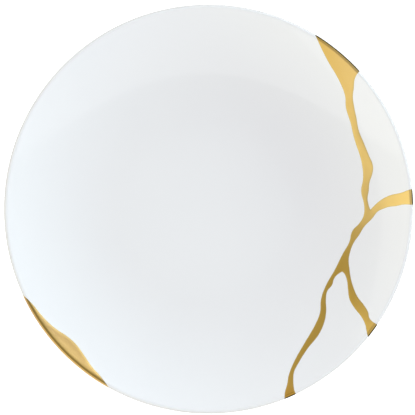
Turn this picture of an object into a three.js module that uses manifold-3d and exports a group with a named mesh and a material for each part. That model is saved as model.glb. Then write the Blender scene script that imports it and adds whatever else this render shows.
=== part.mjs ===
// Kintsugi plate: a round coupe plate of white porcelain, broken along its right side and mended with gold
// lacquer. A chip at the lower left of the rim is filled with the same gold.
// Millimetres, +Z up. The plate stands on its foot ring at z = 0, with its centre on the Z axis.
// Seen from above, +X is the plate's right and +Y its top.

import * as THREE from 'three';
import { mergeVertices } from 'three/addons/utils/BufferGeometryUtils.js';
import Module from 'manifold-3d';

const wasm = await Module();
wasm.setup();

// Plate
const plateDiameter = 270;
const floorDiameter = 124; // the flat middle, where the wall's curve starts
const lipAngle = THREE.MathUtils.degToRad(30.7); // how steeply the wall rises at the lip
const floorThickness = 4.5;
const lipThickness = 3.2;

// Foot ring
const footDiameter = 152; // along the middle of the ring
const footHeight = 3; // from the table to the underside of the floor
const footTreadWidth = 2.4; // the flat that rests on the table
const footRootWidth = 5.4; // where the ring grows out of the wall

// Gold lacquer
const goldRise = 0.15; // how far the gold stands proud of the glaze
const fitGap = 0.3; // from the gold to each broken edge

// Fineness of the curved faces
const turnSteps = 96; // around the plate
const wallSteps = 9; // from the floor to the lip, on each side of the wall
const lipSteps = 5; // around the rounded lip
const edgeStep = 3.5; // along a broken edge
const arcAngle = THREE.MathUtils.degToRad(8); // along an outline outside the rim

// Broken edges, as they run across the plate, in shares of its radius. Each run is one smooth curve, and
// the two runs of a shard meet in a sharp corner. An edge starts and ends just outside the rim, and goes
// counterclockwise round the piece that it bounds.
const mainEdge = [[
  [0.504, 0.901], [0.523, 0.849], [0.576, 0.737], [0.643, 0.619], [0.668, 0.551], [0.672, 0.497],
  [0.694, 0.424], [0.713, 0.345], [0.749, 0.228], [0.756, 0.150], [0.747, 0.089], [0.762, 0.013],
  [0.758, -0.034], [0.739, -0.068], [0.704, -0.107], [0.688, -0.163], [0.656, -0.220], [0.619, -0.295],
  [0.572, -0.379], [0.550, -0.445], [0.546, -0.503], [0.526, -0.557], [0.471, -0.653], [0.421, -0.741],
  [0.392, -0.812], [0.384, -0.856], [0.373, -0.897], [0.372, -0.924], [0.377, -0.973],
]];
const upperEdge = [[
  [0.771, 0.707], [0.737, 0.674], [0.716, 0.639], [0.710, 0.588], [0.706, 0.551], [0.712, 0.502],
  [0.724, 0.443], [0.735, 0.385], [0.759, 0.326], [0.783, 0.267], [0.805, 0.208], [0.801, 0.172],
  [0.788, 0.130], [0.784, 0.091], [0.778, 0.052], [0.785, 0.015], [0.792, -0.003],
], [
  [0.792, -0.003], [0.812, 0.018], [0.841, 0.043], [0.886, 0.067], [0.944, 0.081], [0.976, 0.093],
  [0.995, 0.097], [1.045, 0.103],
]];
const middleEdge = [[
  [1.049, 0.018], [1.000, 0.021], [0.952, 0.022], [0.917, 0.015], [0.883, 0.011], [0.854, 0.001],
  [0.828, -0.012], [0.801, -0.046], [0.763, -0.085], [0.739, -0.124], [0.709, -0.168], [0.692, -0.215],
  [0.686, -0.247], [0.690, -0.293], [0.697, -0.340], [0.708, -0.379], [0.729, -0.428], [0.762, -0.472],
  [0.780, -0.503], [0.787, -0.533], [0.799, -0.547], [0.821, -0.563], [0.864, -0.591],
]];
const lowerEdge = [[
  [0.810, -0.655], [0.779, -0.620], [0.772, -0.594], [0.766, -0.565], [0.746, -0.525], [0.714, -0.484],
  [0.690, -0.442], [0.682, -0.391], [0.677, -0.347], [0.666, -0.318], [0.654, -0.306],
], [
  [0.654, -0.306], [0.633, -0.319], [0.615, -0.340], [0.605, -0.371], [0.581, -0.403], [0.575, -0.440],
  [0.576, -0.499], [0.566, -0.555], [0.539, -0.614], [0.484, -0.684], [0.442, -0.750], [0.419, -0.795],
  [0.415, -0.831], [0.420, -0.887], [0.429, -0.909], [0.448, -0.954],
]];
const chipEdge = [[
  [-0.462, -0.909], [-0.487, -0.873], [-0.528, -0.816], [-0.568, -0.772], [-0.607, -0.716],
  [-0.646, -0.662], [-0.685, -0.626], [-0.744, -0.586], [-0.783, -0.553], [-0.822, -0.511],
  [-0.861, -0.463], [-0.901, -0.426], [-0.942, -0.393],
]];
const goldStartShare = 0.62; // no gold lies nearer the centre than this share of the radius
const outsideRimShare = 1.06; // outlines close along an arc at this share of the radius
const mitreShare = 0.4; // limits how far a sharp corner moves when its outline is moved
const sameSpot = 0.001; // points closer than this count as one

// Sizes that follow from those above
const plateRadius = plateDiameter / 2;
const floorRadius = floorDiameter / 2;
const floorTop = footHeight + floorThickness;
const wallInnerReach = plateRadius - (lipThickness / 2) * (1 + Math.sin(lipAngle));
const wallCurve = (wallInnerReach - floorRadius) / Math.sin(lipAngle);
const plateHeight = floorTop + wallCurve * (1 - Math.cos(lipAngle)) + lipThickness;

const porcelain = new THREE.MeshStandardMaterial({ color: 0xe8ebec, roughness: 0.12, metalness: 0 });
const gold = new THREE.MeshStandardMaterial({ color: 0xdcb166, roughness: 0.3, metalness: 1 });

// A closed geometry as a solid that can be joined and cut. Triangles that shrank to a line are dropped.
function solid(geometry) {
  geometry.deleteAttribute('normal');
  geometry.deleteAttribute('uv');
  const merged = mergeVertices(geometry);
  const index = merged.index.array;
  const kept = [];
  for (let i = 0; i < index.length; i += 3) {
    const [a, b, c] = index.subarray(i, i + 3);
    if (a !== b && b !== c && c !== a) kept.push(a, b, c);
  }
  return new wasm.Manifold(new wasm.Mesh({
    numProp: 3,
    vertProperties: merged.attributes.position.array,
    triVerts: new Uint32Array(kept),
  }));
}

// Turns a section, with x as the radius and y as the height, about the plate's axis.
function turned(section) {
  return solid(new THREE.LatheGeometry(section, turnSteps).rotateX(Math.PI / 2));
}

// A point on the wall's curve, at an angle of its arc and a height over the inner face.
function wallPoint(angle, height) {
  const reach = wallCurve - height;
  return new THREE.Vector2(
    floorRadius + reach * Math.sin(angle),
    floorTop + wallCurve - reach * Math.cos(angle),
  );
}

// The angle of the wall's arc over a radius of the plate. It is zero over the flat floor.
function wallAngle(radius) {
  return Math.asin(Math.max(radius - floorRadius, 0) / wallCurve);
}

function wallThickness(angle) {
  return THREE.MathUtils.lerp(floorThickness, lipThickness, angle / lipAngle);
}

// The wall's section from its first angle out along the underside, round the lip and back over the top,
// with each face moved outwards by a rise.
function wallSection(firstAngle, rise) {
  const under = [];
  const over = [];
  for (let i = 0; i <= wallSteps; i++) {
    const angle = THREE.MathUtils.lerp(firstAngle, lipAngle, i / wallSteps);
    under.push(wallPoint(angle, -wallThickness(angle) - rise));
    over.unshift(wallPoint(angle, rise));
  }
  const lipCentre = wallPoint(lipAngle, -lipThickness / 2);
  const lipRadius = lipThickness / 2 + rise;
  const lip = [];
  for (let i = 1; i < lipSteps; i++) {
    const angle = lipAngle - Math.PI / 2 + (Math.PI * i) / lipSteps;
    lip.push(new THREE.Vector2(Math.cos(angle), Math.sin(angle)).multiplyScalar(lipRadius).add(lipCentre));
  }
  return [...under, ...lip, ...over];
}

// The whole unbroken plate, with its foot ring joined on.
function wholePlate() {
  const bowl = turned([
    new THREE.Vector2(0, footHeight),
    ...wallSection(0, 0),
    new THREE.Vector2(0, floorTop),
  ]);
  const footRadius = footDiameter / 2;
  const footAngle = wallAngle(footRadius);
  const footTop = wallPoint(footAngle, -wallThickness(footAngle) / 2).y;
  const foot = turned([
    new THREE.Vector2(footRadius - footTreadWidth / 2, 0),
    new THREE.Vector2(footRadius + footTreadWidth / 2, 0),
    new THREE.Vector2(footRadius + footRootWidth / 2, footTop),
    new THREE.Vector2(footRadius - footRootWidth / 2, footTop),
    new THREE.Vector2(footRadius - footTreadWidth / 2, 0),
  ]);
  return bowl.add(foot);
}

// A ring of gold with the wall's own section, standing a little proud of the glaze all round.
function goldRing() {
  const section = wallSection(wallAngle(goldStartShare * plateRadius), goldRise);
  return turned([...section, section[0]]);
}

// The closed outline of a piece of the plate: its broken edge, and an arc outside the rim.
function pieceOutline(edge) {
  const broken = edge.flatMap((run) => {
    const corners = run.map(([x, y]) => new THREE.Vector3(x, y, 0).multiplyScalar(plateRadius));
    const curve = new THREE.CatmullRomCurve3(corners, false, 'centripetal');
    return curve.getSpacedPoints(Math.ceil(curve.getLength() / edgeStep));
  }).map(({ x, y }) => new THREE.Vector2(x, y));
  const outline = broken.filter((point, i) => i === 0 || point.distanceTo(broken[i - 1]) > sameSpot);
  const from = outline.at(-1).angle();
  const sweep = THREE.MathUtils.euclideanModulo(outline[0].angle() - from, 2 * Math.PI);
  const arcSteps = Math.ceil(sweep / arcAngle);
  for (let i = 0; i <= arcSteps; i++) {
    const angle = from + (sweep * i) / arcSteps;
    const direction = new THREE.Vector2(Math.cos(angle), Math.sin(angle));
    outline.push(direction.multiplyScalar(outsideRimShare * plateRadius));
  }
  return outline;
}

// Moves each side of a counterclockwise outline outwards, or inwards by a negative distance.
function movedOutline(outline, distance) {
  return outline.map((point, i) => {
    const before = new THREE.Vector2().subVectors(point, outline.at(i - 1)).normalize();
    const after = new THREE.Vector2().subVectors(outline[(i + 1) % outline.length], point).normalize();
    const along = new THREE.Vector2().addVectors(before, after).normalize();
    const mitre = distance / Math.max(along.dot(after), mitreShare);
    return new THREE.Vector2(along.y, -along.x).multiplyScalar(mitre).add(point);
  });
}

// An upright prism over the region that a broken edge bounds, through the plate's whole height.
function prism(edge, distance = 0) {
  const shape = new THREE.Shape(movedOutline(pieceOutline(edge), distance));
  const geometry = new THREE.ExtrudeGeometry(shape, { depth: 2 * plateHeight, bevelEnabled: false });
  return solid(geometry.translate(0, 0, -plateHeight / 2));
}

function namedMesh(name, body, material) {
  const { vertProperties, triVerts } = body.getMesh();
  const geometry = new THREE.BufferGeometry();
  geometry.setAttribute('position', new THREE.BufferAttribute(vertProperties, 3));
  geometry.setIndex(new THREE.BufferAttribute(triVerts, 1));
  geometry.computeVertexNormals();
  const mesh = new THREE.Mesh(geometry, material);
  mesh.name = name;
  return mesh;
}

// The gold between the four shards: one branching body, with the wide wedge at the top of the rim.
function goldSeam() {
  const rightSide = goldRing().intersect(prism(mainEdge, -fitGap));
  const rimShards = [upperEdge, middleEdge, lowerEdge].map((edge) => prism(edge, fitGap));
  return rimShards.reduce((seam, shard) => seam.subtract(shard), rightSide);
}

// The gold that fills the chip in the rim.
function goldChipFill() {
  return goldRing().intersect(prism(chipEdge, -fitGap));
}

const plate = wholePlate();
const mainShard = plate.subtract(prism(mainEdge)).subtract(prism(chipEdge));

const kintsugiPlate = new THREE.Group();
kintsugiPlate.add(
  namedMesh('main_shard', mainShard, porcelain),
  namedMesh('upper_shard', plate.intersect(prism(upperEdge)), porcelain),
  namedMesh('middle_shard', plate.intersect(prism(middleEdge)), porcelain),
  namedMesh('lower_shard', plate.intersect(prism(lowerEdge)), porcelain),
  namedMesh('gold_seam', goldSeam(), gold),
  namedMesh('gold_chip_fill', goldChipFill(), gold),
);

export default kintsugiPlate;
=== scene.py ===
"""The looks of a kintsugi plate: a round coupe plate of glazed white porcelain, broken along its right side
and mended with gold lacquer, with a chip at the lower left of its rim filled in the same gold.

Metres, +Z up. The plate stands on its foot ring at z = 0, with its centre on the Z axis. Seen from above, +X
is the plate's right and +Y its top.
"""
import math

import bpy
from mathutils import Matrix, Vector, kdtree, noise


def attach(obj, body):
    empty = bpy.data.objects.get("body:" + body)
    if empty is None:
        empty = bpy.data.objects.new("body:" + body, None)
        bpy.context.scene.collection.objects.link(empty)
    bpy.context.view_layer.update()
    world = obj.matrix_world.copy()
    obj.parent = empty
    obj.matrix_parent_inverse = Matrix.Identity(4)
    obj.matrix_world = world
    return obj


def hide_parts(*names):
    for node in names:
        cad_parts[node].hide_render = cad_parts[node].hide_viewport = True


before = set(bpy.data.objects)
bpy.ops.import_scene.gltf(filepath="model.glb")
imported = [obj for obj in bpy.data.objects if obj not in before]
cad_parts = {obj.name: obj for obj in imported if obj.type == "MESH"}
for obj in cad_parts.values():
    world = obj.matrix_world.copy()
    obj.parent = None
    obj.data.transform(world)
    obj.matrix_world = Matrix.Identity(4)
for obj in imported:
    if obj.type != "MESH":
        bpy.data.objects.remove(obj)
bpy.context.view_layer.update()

# Plate
PLATE_RADIUS = 0.135
FLOOR_RADIUS = 0.062  # the flat middle, where the wall's curve starts
LIP_ANGLE = math.radians(30.7)  # how steeply the wall rises at the lip
FLOOR_THICKNESS = 0.0045
LIP_THICKNESS = 0.0032

# Foot ring
FOOT_RADIUS = 0.076  # along the middle of the ring
FOOT_HEIGHT = 0.003  # from the table to the underside of the floor
FOOT_TREAD_WIDTH = 0.0024
FOOT_ROOT_WIDTH = 0.0043  # where its flanks meet the underside
FOOT_ROOT_ROUNDING = 0.0011
FOOT_TREAD_ROUNDING = 0.0005

# Gold lacquer
GOLD_RISE = 0.0001  # over the glaze, along the middle of a seam
GOLD_SHOULDER = 0.002  # from the border to where the gold has its full rise
GOLD_OVERLAP = 0.00035  # over the broken edges
GOLD_TUCK = 0.00004  # under the glaze, at the very border
GOLD_UNEVENNESS = 0.00003
GOLD_LUMP = 0.006  # from one shallow lump to the next

# Broken edges, as they run across the plate, in shares of its radius. Each run is one smooth curve, and the
# two runs of a shard meet in a sharp corner.
MAIN_EDGE = [[
    (0.504, 0.901), (0.523, 0.849), (0.576, 0.737), (0.643, 0.619), (0.668, 0.551), (0.672, 0.497),
    (0.694, 0.424), (0.713, 0.345), (0.749, 0.228), (0.756, 0.150), (0.747, 0.089), (0.762, 0.013),
    (0.758, -0.034), (0.739, -0.068), (0.704, -0.107), (0.688, -0.163), (0.656, -0.220), (0.619, -0.295),
    (0.572, -0.379), (0.550, -0.445), (0.546, -0.503), (0.526, -0.557), (0.471, -0.653), (0.421, -0.741),
    (0.392, -0.812), (0.384, -0.856), (0.373, -0.897), (0.372, -0.924), (0.377, -0.973),
]]
UPPER_EDGE = [[
    (0.771, 0.707), (0.737, 0.674), (0.716, 0.639), (0.710, 0.588), (0.706, 0.551), (0.712, 0.502),
    (0.724, 0.443), (0.735, 0.385), (0.759, 0.326), (0.783, 0.267), (0.805, 0.208), (0.801, 0.172),
    (0.788, 0.130), (0.784, 0.091), (0.778, 0.052), (0.785, 0.015), (0.792, -0.003),
], [
    (0.792, -0.003), (0.812, 0.018), (0.841, 0.043), (0.886, 0.067), (0.944, 0.081), (0.976, 0.093),
    (0.995, 0.097), (1.045, 0.103),
]]
MIDDLE_EDGE = [[
    (1.049, 0.018), (1.000, 0.021), (0.952, 0.022), (0.917, 0.015), (0.883, 0.011), (0.854, 0.001),
    (0.828, -0.012), (0.801, -0.046), (0.763, -0.085), (0.739, -0.124), (0.709, -0.168), (0.692, -0.215),
    (0.686, -0.247), (0.690, -0.293), (0.697, -0.340), (0.708, -0.379), (0.729, -0.428), (0.762, -0.472),
    (0.780, -0.503), (0.787, -0.533), (0.799, -0.547), (0.821, -0.563), (0.864, -0.591),
]]
LOWER_EDGE = [[
    (0.810, -0.655), (0.779, -0.620), (0.772, -0.594), (0.766, -0.565), (0.746, -0.525), (0.714, -0.484),
    (0.690, -0.442), (0.682, -0.391), (0.677, -0.347), (0.666, -0.318), (0.654, -0.306),
], [
    (0.654, -0.306), (0.633, -0.319), (0.615, -0.340), (0.605, -0.371), (0.581, -0.403), (0.575, -0.440),
    (0.576, -0.499), (0.566, -0.555), (0.539, -0.614), (0.484, -0.684), (0.442, -0.750), (0.419, -0.795),
    (0.415, -0.831), (0.420, -0.887), (0.429, -0.909), (0.448, -0.954),
]]
CHIP_EDGE = [[
    (-0.462, -0.909), (-0.487, -0.873), (-0.528, -0.816), (-0.568, -0.772), (-0.607, -0.716),
    (-0.646, -0.662), (-0.685, -0.626), (-0.744, -0.586), (-0.783, -0.553), (-0.822, -0.511),
    (-0.861, -0.463), (-0.901, -0.426), (-0.942, -0.393),
]]
RIM_SHARDS = {"upper_shard": UPPER_EDGE, "middle_shard": MIDDLE_EDGE, "lower_shard": LOWER_EDGE}
LEFT_OUT_OF_MAIN_SHARD = {"right_side": MAIN_EDGE, "chip": CHIP_EDGE}
OUTSIDE_RIM = 1.06 * PLATE_RADIUS  # where an outline closes outside the plate
OUTSIDE_STEP = math.radians(15)

# The stretch of the wall that each gold piece is cut from: how far from the axis it starts, and its two ends
# in degrees round the plate
SEAM_STRETCH = (0.66 * PLATE_RADIUS, -72, 64)
CHIP_STRETCH = (0.88 * PLATE_RADIUS, 200, 246)

# Fineness of the curved faces
TURN_STEPS = 320
FLOOR_STEPS = 8
WALL_STEPS = 30
LIP_STEPS = 12
ROUNDING_STEPS = 5
EDGE_RESOLUTION = 12  # between two points of a broken edge
GOLD_STEP = 0.0005
GOLD_LIP_STEPS = 18
BORDER_STEP = 0.0001  # between the border points that the gold's rise is measured from
SMOOTH_UNDER = math.radians(32)  # edges sharper than this stay crisp
SAME_POINT = 1e-6  # points closer than this are merged
UPRIGHT = 0.5  # a face stands upright where its normal rises less than this

# Clouds, which are smooth noise from 0 to 1: how many layers they have, and their middle
PLAIN = 1.0
UNEVEN = 2.0
GRAINY = 3.0
CLOUD_MIDDLE = 0.5

# Porcelain. The number of a cloud is the size of its lumps.
GLAZE_COLOURS = ((0.845, 0.856, 0.866, 1), (0.865, 0.874, 0.882, 1))
GLAZE_COLOUR_CLOUD = 0.05
GLAZE_ROUGHNESS = 0.035
GLAZE_ROUGHNESS_CLOUD = 0.02
GLAZE_ROUGHNESS_CHANGE = 0.03
GLAZE_GLOSS = 1.66  # its index of refraction
GLAZE_WAVE_CLOUD = 0.03
GLAZE_PEEL_CLOUD = 0.0022
GLAZE_PEEL_SHARE = 0.06  # of the wave's depth
GLAZE_RELIEF = 0.00006
GLAZE_START = (0.0004, 0.0008)  # over the table, where the bare tread ends and the glaze is whole
RIM_GREY_SHADE = (0.0013, 0.0004)  # in from the rim, where the painted grey shade of the lip starts and where it is darkest
RIM_GREY_SHADE_COLOUR = (0.62, 0.61, 0.59, 1)
RIM_GREY_SHADE_SHARE = 0.8
BARE_COLOURS = ((0.74, 0.71, 0.66, 1), (0.82, 0.79, 0.74, 1))
BARE_ROUGHNESS = 0.62
BARE_GRAIN_CLOUD = 0.0006
BARE_GRAIN_SHARE = 0.4

# Gold. The colour of the seams changes along Y from the right branch to the wedge. From the lower seams to
# the pale ones it changes along a line that leans a little from X towards Y. These changes are painted
# reflection and shade: the gold is palest on the right branch, and painted darker, as shade, towards the
# wedge, on the lower seams and their lower end, and on the chip and its top.
BRANCH_COLOUR = (0.75, 0.53, 0.19, 1)
WEDGE_SHADE_COLOUR = (0.57, 0.395, 0.145, 1)
BRANCH_TO_WEDGE = (0.02, 0.1)
LOW_SEAM_SHADE_COLOUR = (0.55, 0.35, 0.07, 1)
LOW_TO_PALE = (0.078, 0.116)
LOW_TO_PALE_LEAN = 0.2
SEAM_END_SHADE_COLOUR = (0.5, 0.28, 0.045, 1)
SEAM_END = (-0.126, -0.112)  # along Y
CHIP_SHADE_COLOUR = (0.63, 0.42, 0.16, 1)
CHIP_TOP_SHADE_COLOUR = (0.5, 0.33, 0.15, 1)
CHIP_TOP = (-0.1, -0.055)  # along Y
CHIP_TOP_UNEVENNESS = 0.02
CHIP_TO_SEAM = (0.0, 0.02)  # along X
BORDER_COLOUR = (0.52, 0.42, 0.16, 1)
BORDER_SHARE = 0.7
BORDER_WIDTH = (0.0002, 0.0012)  # from the border: where its colour starts to fade and where it has gone
PATCH_CLOUD = 0.009
PATCH_CHANGE = 0.25
POWDER_CLOUD = 0.00035
GOLD_ROUGHNESS = 0.34
POWDER_ROUGHNESS = 0.08
BORDER_ROUGHNESS = 0.06
BURNISH_CLOUD = 0.004
POWDER_SHARE = 0.12  # of the burnishing's depth
BURNISH_RELIEF = 0.00008
# Painted dark reflection: a dark band on the seams where they turn over the lip, and a darker band in from
# the chip's rim.
SEAM_LIP_REFLECTION_COLOUR = (0.04, 0.027, 0.004, 1)
SEAM_LIP_REFLECTION = (0.0009, 0.0006)  # in from the rim
CHIP_LIP_SHADE_COLOUR = (0.27, 0.17, 0.03, 1)
CHIP_LIP_SHADE_BAND = (0.0046, 0.0015)  # in from the rim, where the painted shade starts and where it is full
CHIP_LIP_SHADE_BAND_END = (0.0012, 0.0004)
CHIP_LIP_SHADE_STRENGTH = 0.75

# Camera
FRAME_WIDTH = 0.2738  # that the picture shows across, at the height of the rim
LENS = 1200.0  # long, because the broken edges were measured as if seen from straight above
SENSOR_WIDTH = 36.0
CAMERA_OFFSET = Vector((-0.00066, 0.00106, 0.0))  # the plate lies a little off the middle of the picture

# Table
TABLE_SIZE = 40.0
TABLE_GAP = 0.0001  # under the foot ring
# The table is greyer farther off: painted shade.
TABLE_NEAR_COLOUR = (0.9, 0.9, 0.9, 1)
TABLE_FAR_SHADE_COLOUR = (0.72, 0.72, 0.73, 1)
TABLE_NEAR_TO_FAR = (0.17, 0.75)  # out from the axis, as the next two
# Painted light: a glow on the table around the plate, not under it, that fills the plate's shadow there.
GLOW = 0.5
GLOW_START = (0.118, 0.131)
GLOW_END = (0.19, 0.45)

# The light around the plate. A panel lies to the side that its angle from +X gives. It starts where a
# direction's slope from straight up towards that side passes from the first to the second value. The last one
# is a dark card, which takes light away.
ROOM = (0.619, 0.619, 0.657)
PANELS = [
    (210, 0.2, 1.3, (0.3, 0.3, 0.08)),
    (270, 0.4, 0.42, (0.48, 0.48, 0.48)),
    (191, 0.91, 0.95, (0.44, 0.44, 0.44)),
    (32, 2.2, 4.2, (5.2, 6.4, 6.2)),
    (75, 1.2, 2.2, (0.42, 0.32, 0.45)),
    (270, 0.55, 1.5, (-0.24, -0.24, -0.16)),
]
LEAST_RISE = 0.02  # that a slope is measured over
HORIZON = (0.85, 0.86, 0.88)
HORIZON_EDGE = (0.05, 0.17)  # how far a direction rises where the horizon ends

# Sizes that follow from those above
FLOOR_TOP = FOOT_HEIGHT + FLOOR_THICKNESS
WALL_INNER_REACH = PLATE_RADIUS - (LIP_THICKNESS / 2) * (1 + math.sin(LIP_ANGLE))
WALL_CURVE = (WALL_INNER_REACH - FLOOR_RADIUS) / math.sin(LIP_ANGLE)
CURVE_CENTRE = Vector((FLOOR_RADIUS, 0, FLOOR_TOP + WALL_CURVE))
PLATE_HEIGHT = FLOOR_TOP + WALL_CURVE * (1 - math.cos(LIP_ANGLE)) + LIP_THICKNESS
BLOCK_REACH = 2 * PLATE_HEIGHT  # of a cutting block, up and down


def select_only(piece):
    bpy.ops.object.select_all(action="DESELECT")
    bpy.context.view_layer.objects.active = piece
    piece.select_set(True)


def evenly(first, last, steps):
    """Numbers from first to last, both included, in even steps."""
    return [first + (last - first) * i / steps for i in range(steps + 1)]


def wall_point(angle, height):
    """A point of the wall's section, at an angle of its arc and a height over the inner face."""
    reach = WALL_CURVE - height
    return CURVE_CENTRE + reach * Vector((math.sin(angle), 0, -math.cos(angle)))


def wall_thickness(angle):
    return FLOOR_THICKNESS + (LIP_THICKNESS - FLOOR_THICKNESS) * angle / LIP_ANGLE


def under_point(angle):
    return wall_point(angle, -wall_thickness(angle))


def angle_over(radius, depth):
    """The angle of the wall's arc at a radius of the plate, at a depth under the inner face."""
    return math.asin(max(radius - FLOOR_RADIUS, 0) / (WALL_CURVE + depth))


LIP_CENTRE = wall_point(LIP_ANGLE, -LIP_THICKNESS / 2)


def lip_points(steps):
    """The round of the lip, from the underside to the inner face, without its two ends."""
    turns = evenly(LIP_ANGLE - math.pi / 2, LIP_ANGLE + math.pi / 2, steps)[1:-1]
    return [LIP_CENTRE + LIP_THICKNESS / 2 * Vector((math.cos(a), 0, math.sin(a))) for a in turns]


def rounded(before, corner, after, radius):
    """The arc that rounds the corner of a section between its two neighbours."""
    one, other = (before - corner).normalized(), (after - corner).normalized()
    half = one.angle(other) / 2
    centre = corner + (one + other).normalized() * radius / math.sin(half)
    first, last = (corner + side * radius / math.tan(half) - centre for side in (one, other))
    return [centre + radius * first.slerp(last, share) for share in evenly(0, 1, ROUNDING_STEPS)]


def foot_section():
    """The foot ring's section, from its inner root round the tread to its outer root."""
    inner_angle, outer_angle = (
        angle_over(FOOT_RADIUS + side * FOOT_ROOT_WIDTH / 2, FLOOR_THICKNESS) for side in (-1, 1)
    )
    inner_root, outer_root = under_point(inner_angle), under_point(outer_angle)
    inner_tread = Vector((FOOT_RADIUS - FOOT_TREAD_WIDTH / 2, 0, 0))
    outer_tread = Vector((FOOT_RADIUS + FOOT_TREAD_WIDTH / 2, 0, 0))
    step = LIP_ANGLE / WALL_STEPS
    return [
        *rounded(under_point(inner_angle - step), inner_root, inner_tread, FOOT_ROOT_ROUNDING),
        *rounded(inner_root, inner_tread, outer_tread, FOOT_TREAD_ROUNDING),
        *rounded(inner_tread, outer_tread, outer_root, FOOT_TREAD_ROUNDING),
        *rounded(outer_tread, outer_root, under_point(outer_angle + step), FOOT_ROOT_ROUNDING),
    ]


def plate_section():
    """Half the plate's section, from the axis along the underside, round the lip and back over the top."""
    foot = foot_section()
    under = [Vector((radius, 0, FOOT_HEIGHT)) for radius in evenly(0, FLOOR_RADIUS, FLOOR_STEPS)]
    wall = [under_point(angle) for angle in evenly(0, LIP_ANGLE, WALL_STEPS)[1:]]
    under += [point for point in wall if point.x < foot[0].x]
    under += foot + [point for point in wall if point.x > foot[-1].x]
    over = [wall_point(angle, 0) for angle in evenly(LIP_ANGLE, 0, WALL_STEPS)]
    over += [Vector((radius, 0, FLOOR_TOP)) for radius in evenly(FLOOR_RADIUS, 0, FLOOR_STEPS)[1:]]
    return under + lip_points(LIP_STEPS) + over


def gold_section(first_radius):
    """The wall's section from a radius of the plate outwards, closed."""
    first_angle = angle_over(first_radius, 0)
    steps = round((LIP_ANGLE - first_angle) * WALL_CURVE / GOLD_STEP)
    angles = evenly(first_angle, LIP_ANGLE, steps)
    under = [under_point(angle) for angle in angles]
    over = [wall_point(angle, 0) for angle in reversed(angles)]
    return under + lip_points(GOLD_LIP_STEPS) + over


def turned(name, section, steps, first_angle=0.0, sweep=2 * math.pi, closed=False):
    """A section pulled out point by point from one vertex, and turned about the Z axis. A closed section is
    turned through less than a full turn, and the two ends of its sweep are filled."""
    bpy.ops.mesh.primitive_plane_add(location=(0, 0, 0))
    piece = bpy.context.object
    piece.name = piece.data.name = name
    bpy.ops.object.mode_set(mode="EDIT")
    bpy.ops.mesh.select_all(action="SELECT")
    bpy.ops.mesh.merge(type="CENTER")
    bpy.ops.transform.translate(value=section[0])
    line = section + section[:1] if closed else section
    for before, after in zip(line, line[1:]):
        bpy.ops.mesh.extrude_region_move(TRANSFORM_OT_translate={"value": after - before})
    bpy.ops.mesh.select_all(action="SELECT")
    bpy.ops.mesh.remove_doubles(threshold=SAME_POINT)
    bpy.ops.object.mode_set(mode="OBJECT")
    turn = piece.modifiers.new("turn", "SCREW")
    turn.steps = turn.render_steps = steps
    turn.angle = sweep
    turn.use_merge_vertices = True
    turn.merge_threshold = SAME_POINT
    bpy.ops.object.modifier_apply(modifier=turn.name)
    bpy.ops.object.mode_set(mode="EDIT")
    bpy.ops.mesh.select_all(action="SELECT")
    if closed:
        bpy.ops.mesh.fill_holes(sides=0)
    bpy.ops.mesh.normals_make_consistent(inside=False)
    bpy.ops.object.mode_set(mode="OBJECT")
    piece.rotation_euler.z = first_angle
    bpy.ops.object.transform_apply(location=False, rotation=True, scale=False)
    return piece


def corner_points(runs):
    """The points of a broken edge in metres, each with a mark that is true at the ends of a run."""
    return [
        (Vector((*point, 0)) * PLATE_RADIUS, point in (run[0], run[-1]))
        for run in runs
        for point in run
    ]


def around_outside(corners):
    """Corners of a broken edge, closed by an arc outside the rim."""
    first, last = corners[0][0], corners[-1][0]
    start = math.atan2(last.y, last.x)
    sweep = (math.atan2(first.y, first.x) - start) % (2 * math.pi)
    steps = math.ceil(sweep / OUTSIDE_STEP)
    arc = [
        (OUTSIDE_RIM * Vector((math.cos(a), math.sin(a), 0)), i in (0, steps))
        for i, a in enumerate(evenly(start, start + sweep, steps))
    ]
    return corners + arc


def upright_block(name, corners, wider=0.0):
    """A block through the whole plate, over the region inside a smooth outline with sharp corners."""
    kept = [corners[0]]
    for corner in corners[1:]:
        if (corner[0] - kept[-1][0]).length > BORDER_STEP:
            kept.append(corner)
    bpy.ops.curve.primitive_bezier_curve_add(location=(0, 0, 0))
    drawn = bpy.context.object
    drawn.name = name
    outline = drawn.data.splines[0]
    outline.bezier_points.add(len(kept) - len(outline.bezier_points))
    for point, (place, sharp) in zip(outline.bezier_points, kept):
        point.co = place
        point.handle_left_type = point.handle_right_type = "VECTOR" if sharp else "AUTO"
    outline.use_cyclic_u = True
    drawn.data.dimensions = "2D"
    drawn.data.fill_mode = "BOTH"
    drawn.data.extrude = BLOCK_REACH
    drawn.data.offset = wider
    drawn.data.resolution_u = EDGE_RESOLUTION
    bpy.ops.object.convert(target="MESH")
    block = bpy.context.object
    bpy.ops.object.mode_set(mode="EDIT")
    bpy.ops.mesh.select_all(action="SELECT")
    bpy.ops.mesh.remove_doubles(threshold=SAME_POINT)
    bpy.ops.mesh.normals_make_consistent(inside=False)
    bpy.ops.object.mode_set(mode="OBJECT")
    return block


def cut(piece, block, operation):
    """Takes the block away from a piece, or keeps only what is inside it."""
    select_only(piece)
    modifier = piece.modifiers.new("broken edge", "BOOLEAN")
    modifier.operation = operation
    modifier.solver = "MANIFOLD"
    modifier.object = block
    bpy.ops.object.modifier_apply(modifier=modifier.name)


def copied(piece, name):
    twin = piece.copy()
    twin.data = piece.data.copy()
    twin.name = twin.data.name = name
    bpy.context.collection.objects.link(twin)
    return twin


def outline_points(block):
    """Points close together along the outline of an upright block, as seen from above."""
    spots = []
    for side in block.data.polygons:
        if abs(side.normal.z) < UPRIGHT:
            start, end = [
                block.data.vertices[i].co for i in side.vertices if block.data.vertices[i].co.z > 0
            ][:2]
            steps = math.ceil((end - start).length / BORDER_STEP)
            spots += [start.lerp(end, share).xy.to_3d() for share in evenly(0, 1, steps)]
    return spots


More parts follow.
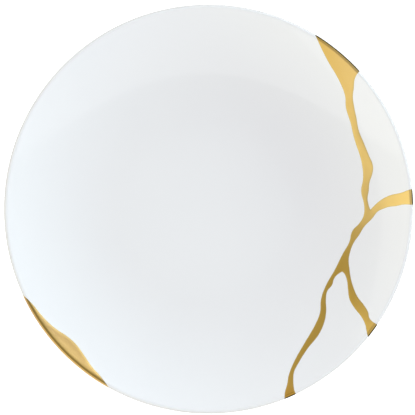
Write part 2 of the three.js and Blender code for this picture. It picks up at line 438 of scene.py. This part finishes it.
def outward(place):
    """The direction straight off the plate's surface at a point of its wall or lip."""
    away = place.xy.to_3d().normalized()
    spot = Vector((place.xy.length, 0, place.z))
    arm = spot - CURVE_CENTRE
    if math.atan2(arm.x, -arm.z) > LIP_ANGLE:
        flat = spot - LIP_CENTRE
    elif arm.length > WALL_CURVE + LIP_THICKNESS / 2:
        flat = arm
    else:
        flat = -arm
    flat.normalize()
    return away * flat.x + Vector((0, 0, flat.z))


def raise_gold(gold, block):
    """Lifts the gold into a low bead: from just under the glaze at its border to its full rise, with shallow
    lumps. Each point keeps its distance from the border as an attribute."""
    spots = [spot for spot in outline_points(block) if spot.length < OUTSIDE_RIM - GOLD_SHOULDER]
    border = kdtree.KDTree(len(spots))
    for i, spot in enumerate(spots):
        border.insert(spot, i)
    border.balance()
    from_border = gold.data.attributes.new("from_border", "FLOAT", "POINT")
    for vertex, kept in zip(gold.data.vertices, from_border.data):
        place = vertex.co.copy()
        kept.value = border.find(place.xy.to_3d())[2]
        share = min(kept.value / GOLD_SHOULDER, 1)
        bead = share * (2 - share)
        lump = GOLD_UNEVENNESS * noise.noise(place / GOLD_LUMP)
        vertex.co = place + outward(place) * (bead * (GOLD_RISE + GOLD_TUCK + lump) - GOLD_TUCK)


def finished(piece, name, material):
    """Names a piece after the node that it stands for, smooths its shading and gives it its finish."""
    select_only(piece)
    bpy.ops.object.shade_smooth_by_angle(angle=SMOOTH_UNDER)
    piece.name = piece.data.name = name + "_finished"
    piece.data.materials.clear()
    piece.data.materials.append(material)
    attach(piece, "root")
    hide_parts(name)


def porcelain_shards(material):
    """The plate, broken into its main shard and the three shards of its rim."""
    plate = turned("plate", plate_section(), TURN_STEPS)
    for name, edge in RIM_SHARDS.items():
        shard = copied(plate, name)
        block = upright_block(name + "_block", around_outside(corner_points(edge)))
        cut(shard, block, "INTERSECT")
        bpy.data.objects.remove(block)
        finished(shard, name, material)
    for name, edge in LEFT_OUT_OF_MAIN_SHARD.items():
        block = upright_block(name, around_outside(corner_points(edge)))
        cut(plate, block, "DIFFERENCE")
        bpy.data.objects.remove(block)
    finished(plate, "main_shard", material)


def gold_piece(name, corners, stretch, material):
    """Gold over the region that the corners bound, cut from a turned stretch of the wall's own section."""
    first_radius, first_angle, last_angle = stretch
    sweep = math.radians(last_angle - first_angle)
    steps = round(sweep * PLATE_RADIUS / GOLD_STEP)
    gold = turned(name, gold_section(first_radius), steps, math.radians(first_angle), sweep, closed=True)
    block = upright_block(name + "_block", corners, GOLD_OVERLAP)
    cut(gold, block, "INTERSECT")
    raise_gold(gold, block)
    bpy.data.objects.remove(block)
    finished(gold, name, material)


def seam_corners():
    """The whole outline of the gold between the shards: down the main shard's edge, and back up along the
    edges of the three rim shards."""
    corners = corner_points(MAIN_EDGE)
    for edge in (LOWER_EDGE, MIDDLE_EDGE, UPPER_EDGE):
        corners += reversed(corner_points(edge))
    return corners


class Wire:
    """A value of a shader, used in sums and products as a number is."""

    def __init__(self, shader, socket):
        self.shader = shader
        self.socket = socket

    def maths(self, operation, *terms):
        return self.shader.node("ShaderNodeMath", {"operation": operation}, dict(enumerate(terms)))

    def __add__(self, other):
        return self.maths("ADD", self, other)

    def __radd__(self, other):
        return self.maths("ADD", other, self)

    def __sub__(self, other):
        return self.maths("SUBTRACT", self, other)

    def __rsub__(self, other):
        return self.maths("SUBTRACT", other, self)

    def __mul__(self, other):
        return self.maths("MULTIPLY", self, other)

    def __rmul__(self, other):
        return self.maths("MULTIPLY", other, self)

    def __truediv__(self, other):
        return self.maths("DIVIDE", self, other)

    def __pow__(self, other):
        return self.maths("POWER", self, other)


class Shader:
    """The nodes of a material, or of the light around the scene."""

    def __init__(self, owner):
        owner.use_nodes = True
        self.tree = owner.node_tree
        self.tree.nodes.clear()

    def node(self, kind, settings=None, sockets=None, output=0):
        """Adds a node with its settings, then its sockets' values or links, and gives one of its outputs."""
        made = self.tree.nodes.new(kind)
        for name, value in (settings or {}).items():
            setattr(made, name, value)
        for name, value in (sockets or {}).items():
            if isinstance(value, Wire):
                self.tree.links.new(value.socket, made.inputs[name])
            else:
                made.inputs[name].default_value = value
        return Wire(self, made.outputs[output]) if made.outputs else None

    def place(self):
        return self.node("ShaderNodeTexCoord", output="Object")

    def parts(self, vector):
        """The three parts of a vector."""
        made = self.node("ShaderNodeSeparateXYZ", None, {"Vector": vector})
        return [Wire(self, made.socket.node.outputs[i]) for i in range(3)]

    def cloud(self, size, layers):
        """Smooth noise from 0 to 1 with lumps of a size in metres."""
        sockets = {"Vector": self.place(), "Scale": 1 / size, "Detail": layers}
        return self.node("ShaderNodeTexNoise", None, sockets)

    def ease(self, value, start, end):
        """A smooth step from 0 at the start to 1 at the end."""
        sockets = {"Value": value, "From Min": start, "From Max": end}
        return self.node("ShaderNodeMapRange", {"interpolation_type": "SMOOTHSTEP"}, sockets)

    def rimward(self, radius, start, end):
        """A smooth step from 0 to 1 between two distances in from the rim."""
        return self.ease(radius, PLATE_RADIUS - start, PLATE_RADIUS - end)

    def blend(self, share, first, second):
        """A colour between two colours, by the places of a Mix node's sockets for colours."""
        return self.node("ShaderNodeMix", {"data_type": "RGBA"}, {0: share, 6: first, 7: second}, 2)

    def relief(self, height, depth):
        """A bumpy normal from heights of 0 to 1, over a depth in metres."""
        return self.node("ShaderNodeBump", None, {"Strength": 1.0, "Distance": depth, "Height": height})

    def surface(self, **sockets):
        """The finish of a material, and its output."""
        named = {name.replace("_", " "): value for name, value in sockets.items()}
        finish = self.node("ShaderNodeBsdfPrincipled", None, named)
        self.node("ShaderNodeOutputMaterial", None, {"Surface": finish})


def from_axis(x, y):
    return (x * x + y * y) ** 0.5


def porcelain_material():
    """White porcelain under a clear glaze, with a painted grey shade along the lip and a bare tread on the
    foot ring.
    """
    material = bpy.data.materials.new("glazed porcelain")
    shader = Shader(material)
    x, y, height = shader.parts(shader.place())
    glazed = shader.ease(height, *GLAZE_START)
    # Painted shade: a grey band along the lip.
    rim_grey_shade = shader.rimward(from_axis(x, y), *RIM_GREY_SHADE) * RIM_GREY_SHADE_SHARE
    body = shader.blend(shader.cloud(GLAZE_COLOUR_CLOUD, PLAIN), *GLAZE_COLOURS)
    body = shader.blend(rim_grey_shade, body, RIM_GREY_SHADE_COLOUR)
    grain = shader.cloud(BARE_GRAIN_CLOUD, GRAINY)
    bare = shader.blend(grain, *BARE_COLOURS)
    smears = shader.cloud(GLAZE_ROUGHNESS_CLOUD, UNEVEN) * GLAZE_ROUGHNESS_CHANGE
    waves = shader.cloud(GLAZE_WAVE_CLOUD, PLAIN) + shader.cloud(GLAZE_PEEL_CLOUD, PLAIN) * GLAZE_PEEL_SHARE
    shader.surface(
        Base_Color=shader.blend(glazed, bare, body),
        Roughness=BARE_ROUGHNESS - glazed * (BARE_ROUGHNESS - GLAZE_ROUGHNESS - smears),
        IOR=GLAZE_GLOSS,
        Normal=shader.relief(waves + (1 - glazed) * grain * BARE_GRAIN_SHARE, GLAZE_RELIEF),
    )
    return material


def gold_material():
    """Gold powder on lacquer, burnished to a soft shine: warmer along the middle of a seam, olive along its
    borders, paler in some places and darker in others as painted reflection and shade, and painted dark where
    it turns over the lip."""
    material = bpy.data.materials.new("burnished gold lacquer")
    shader = Shader(material)
    x, y = shader.parts(shader.place())[:2]
    patches = shader.cloud(PATCH_CLOUD, UNEVEN) - CLOUD_MIDDLE
    powder = shader.cloud(POWDER_CLOUD, UNEVEN)
    on_seam = shader.ease(x, *CHIP_TO_SEAM)

    # Painted reflection and shade: the gold's colour is paler in some places and darker in others, by where
    # it lies on the plate.
    upper_seam_light_and_shade = shader.blend(shader.ease(y, *BRANCH_TO_WEDGE), BRANCH_COLOUR, WEDGE_SHADE_COLOUR)
    lower_seam_shade = shader.blend(1 - shader.ease(y, *SEAM_END), LOW_SEAM_SHADE_COLOUR, SEAM_END_SHADE_COLOUR)
    lower_seam_shade_share = 1 - shader.ease(x + y * LOW_TO_PALE_LEAN, *LOW_TO_PALE) + patches * PATCH_CHANGE
    seam_light_and_shade = shader.blend(lower_seam_shade_share, upper_seam_light_and_shade, lower_seam_shade)
    chip_top_shade_share = shader.ease(y + patches * CHIP_TOP_UNEVENNESS, *CHIP_TOP)
    chip = shader.blend(chip_top_shade_share, CHIP_SHADE_COLOUR, CHIP_TOP_SHADE_COLOUR)
    gold_light_and_shade = shader.blend(on_seam, chip, seam_light_and_shade)

    from_border = shader.node("ShaderNodeAttribute", {"attribute_name": "from_border"}, None, "Fac")
    inner = shader.ease(from_border, *BORDER_WIDTH)
    colour = shader.blend(1 - (1 - inner) * BORDER_SHARE, BORDER_COLOUR, gold_light_and_shade)

    # Painted dark reflection along the lip of the seams, and in from the chip's rim.
    radius = from_axis(x, y)
    seam_lip_darkening = on_seam * shader.rimward(radius, *SEAM_LIP_REFLECTION)
    chip_lip_darkening = shader.rimward(radius, *CHIP_LIP_SHADE_BAND) * (1 - shader.rimward(radius, *CHIP_LIP_SHADE_BAND_END))
    painted_dark_band = seam_lip_darkening + (1 - on_seam) * chip_lip_darkening * CHIP_LIP_SHADE_STRENGTH
    dark_band_colour = shader.blend(on_seam, CHIP_LIP_SHADE_COLOUR, SEAM_LIP_REFLECTION_COLOUR)

    strokes = shader.cloud(BURNISH_CLOUD, UNEVEN)
    shader.surface(
        Base_Color=shader.blend(painted_dark_band, colour, dark_band_colour),
        Metallic=1.0,
        Roughness=GOLD_ROUGHNESS + powder * POWDER_ROUGHNESS + (1 - inner) * BORDER_ROUGHNESS,
        Normal=shader.relief(strokes + powder * POWDER_SHARE, BURNISH_RELIEF),
    )
    return material


def table_material():
    """Plain white, with a painted glow around the plate but not under it that lights up the plate's shadow
    there, and greyer farther off as painted shade.
    """
    material = bpy.data.materials.new("white table")
    shader = Shader(material)
    x, y = shader.parts(shader.place())[:2]
    radius = from_axis(x, y)
    # Painted light fills the plate's shadow around it, and painted shade greys the table farther off.
    glow = shader.ease(radius, *GLOW_START) * (1 - shader.ease(radius, *GLOW_END)) * GLOW
    far_shade = shader.ease(radius, *TABLE_NEAR_TO_FAR)
    shader.surface(
        Base_Color=shader.blend(far_shade, TABLE_NEAR_COLOUR, TABLE_FAR_SHADE_COLOUR),
        Roughness=1.0,
        Emission_Color=shader.blend(glow, (0, 0, 0, 1), (1, 1, 1, 1)),
        Emission_Strength=1.0,
    )
    return material


def surroundings():
    """Even light from the room, with large soft panels to the sides, over a pale horizon."""
    world = bpy.data.worlds.new("studio")
    bpy.context.scene.world = world
    shader = Shader(world)
    x, y, z = shader.parts(shader.node("ShaderNodeTexCoord", output="Generated"))
    rise = z.maths("MAXIMUM", z, LEAST_RISE)
    light = ROOM
    for side, start, end, colour in PANELS:
        slope = (x * math.cos(math.radians(side)) + y * math.sin(math.radians(side))) / rise
        share = shader.ease(slope, start, end)
        panel = shader.node("ShaderNodeVectorMath", {"operation": "SCALE"}, {0: colour, "Scale": share})
        light = shader.node("ShaderNodeVectorMath", {"operation": "ADD"}, {0: panel, 1: light})
    colour = shader.blend(shader.ease(z, *HORIZON_EDGE), (*HORIZON, 1), light)
    background = shader.node("ShaderNodeBackground", None, {"Color": colour})
    shader.node("ShaderNodeOutputWorld", None, {"Surface": background})


def table():
    bpy.ops.object.select_all(action="DESELECT")
    bpy.ops.mesh.primitive_plane_add(size=TABLE_SIZE, location=(0, 0, -TABLE_GAP))
    top = bpy.context.object
    top.name = "table"
    top.data.materials.append(table_material())


def camera():
    """Straight above the plate, with the top of the picture towards +Y."""
    lens = bpy.data.cameras.new("camera")
    lens.lens = LENS
    lens.sensor_width = SENSOR_WIDTH
    eye = bpy.data.objects.new("camera", lens)
    bpy.context.collection.objects.link(eye)
    over_rim = FRAME_WIDTH * LENS / SENSOR_WIDTH
    eye.location = CAMERA_OFFSET + Vector((0, 0, LIP_CENTRE.z + over_rim))
    bpy.context.scene.camera = eye
    bpy.context.scene.view_settings.view_transform = "Standard"


camera()
table()
surroundings()
porcelain_shards(porcelain_material())
gold = gold_material()
gold_piece("gold_seam", seam_corners(), SEAM_STRETCH, gold)
gold_piece("gold_chip_fill", around_outside(corner_points(CHIP_EDGE)), CHIP_STRETCH, gold)
